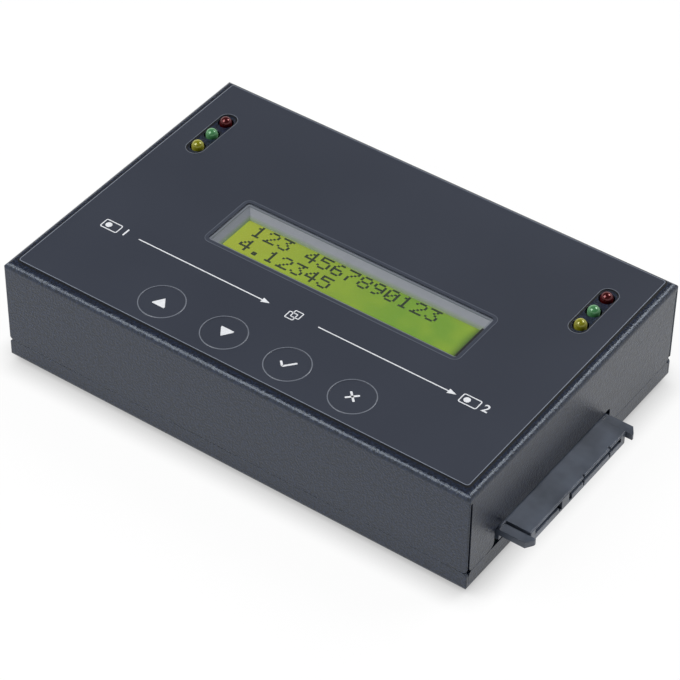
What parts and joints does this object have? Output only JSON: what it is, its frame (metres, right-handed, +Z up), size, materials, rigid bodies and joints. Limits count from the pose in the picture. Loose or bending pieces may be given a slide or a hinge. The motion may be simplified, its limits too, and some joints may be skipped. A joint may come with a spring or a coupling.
{
  "type": "drive duplicator",
  "caption": "Flat slate-grey steel drive duplicator with round membrane keys, a character display window, status lamps and a drive receptacle at each end.",
  "frame": {"origin": "on the plane the feet stand on, under the middle of the steel case", "axes": "+X from the source end to the target end, +Y from the key side to the rear wall, +Z up out of the front panel"},
  "size_m": [0.137, 0.0835, 0.0297],
  "materials": {
    "case_paint": "fine-textured slate-grey powder coat, semi-matt",
    "panel_film": "smooth slate-grey printed polycarbonate film, matt",
    "window_film": "clear polycarbonate film",
    "black_plastic": "moulded dark grey plastic",
    "receptacle_plastic": "moulded charcoal glass-filled plastic",
    "plunger_plastic": "black moulded plastic",
    "gold_contact": "gold-flashed copper alloy",
    "tin_plate": "tin-plated pressed steel",
    "zinc_steel": "zinc-plated steel",
    "black_steel": "black oxide screw",
    "board_laminate": "green solder-masked glass epoxy board",
    "display_glass": "yellow-green liquid crystal glass",
    "backlight_guide": "lit yellow-green light guide",
    "zebra_rubber": "layered elastomer strip",
    "epoxy_black": "black chip epoxy",
    "red_lens": "tinted clear red epoxy",
    "green_lens": "tinted green epoxy",
    "yellow_lens": "tinted yellow epoxy",
    "foot_rubber": "soft black rubber",
    "can_aluminium": "drawn aluminium can",
    "ferrite": "dark ferrite",
    "lead_insulation": "red wire insulation",
    "white_nylon": "natural nylon"
  },
  "bodies": {
    "chassis": {"base_tray": "case_paint", "board_screws": "zinc_steel", "board_standoffs": "zinc_steel", "buzzer": "plunger_plastic", "case_screws": "black_steel", "chip_pins": "tin_plate", "chip_resistors": "ferrite", "clock_crystals": "can_aluminium", "copy_controller": "epoxy_black", "cover_pillars": "zinc_steel", "dc_jack_housing": "black_plastic", "dc_jack_pin": "tin_plate", "dc_jack_spring": "tin_plate", "display_window": "window_film", "filter_capacitors": "can_aluminium", "firmware_memory": "epoxy_black", "graphic_overlay": "panel_film", "green_lamps": "green_lens", "key_board": "board_laminate", "key_switches": "black_plastic", "lamp_leads": "tin_plate", "lcd_backlight": "backlight_guide", "lcd_bezel": "tin_plate", "lcd_board": "board_laminate", "lcd_driver_blobs": "epoxy_black", "lcd_glass": "display_glass", "lcd_zebra_strips": "zebra_rubber", "main_board": "board_laminate", "panel_studs": "zinc_steel", "power_inductors": "ferrite", "power_switch_housing": "black_plastic", "red_lamps": "red_lens", "rubber_feet": "foot_rubber", "source_contacts": "gold_contact", "source_lamp_holder": "black_plastic", "source_receptacle": "receptacle_plastic", "strip_headers": "black_plastic", "strip_pins": "gold_contact", "strip_sockets": "black_plastic", "stud_screws": "zinc_steel", "switch_leads": "lead_insulation", "switch_plug": "white_nylon", "switch_terminals": "tin_plate", "target_contacts": "gold_contact", "target_lamp_holder": "black_plastic", "target_receptacle": "receptacle_plastic", "top_cover": "case_paint", "voltage_regulators": "epoxy_black", "yellow_lamps": "yellow_lens"},
    "up_key": {"key_up": "panel_film", "switch_plunger_up": "plunger_plastic"},
    "down_key": {"key_down": "panel_film", "switch_plunger_down": "plunger_plastic"},
    "ok_key": {"key_ok": "panel_film", "switch_plunger_ok": "plunger_plastic"},
    "esc_key": {"key_esc": "panel_film", "switch_plunger_esc": "plunger_plastic"},
    "rocker": {"power_rocker": "plunger_plastic"}
  },
  "joints": [
    {"name": "up_key_press", "type": "slide", "parent": "chassis", "child": "up_key", "axis": [0, 0, -1], "range_m": [0, 0.0003], "stiffness_N_per_m": 3000},
    {"name": "down_key_press", "type": "slide", "parent": "chassis", "child": "down_key", "axis": [0, 0, -1], "range_m": [0, 0.0003], "stiffness_N_per_m": 3000},
    {"name": "ok_key_press", "type": "slide", "parent": "chassis", "child": "ok_key", "axis": [0, 0, -1], "range_m": [0, 0.0003], "stiffness_N_per_m": 3000},
    {"name": "esc_key_press", "type": "slide", "parent": "chassis", "child": "esc_key", "axis": [0, 0, -1], "range_m": [0, 0.0003], "stiffness_N_per_m": 3000},
    {"name": "power_rocker_tilt", "type": "hinge", "parent": "chassis", "child": "rocker", "pos_m": [0.018, 0.039, 0.0162], "axis": [0, 0, 1], "range_deg": [0, 14]}
  ]
}
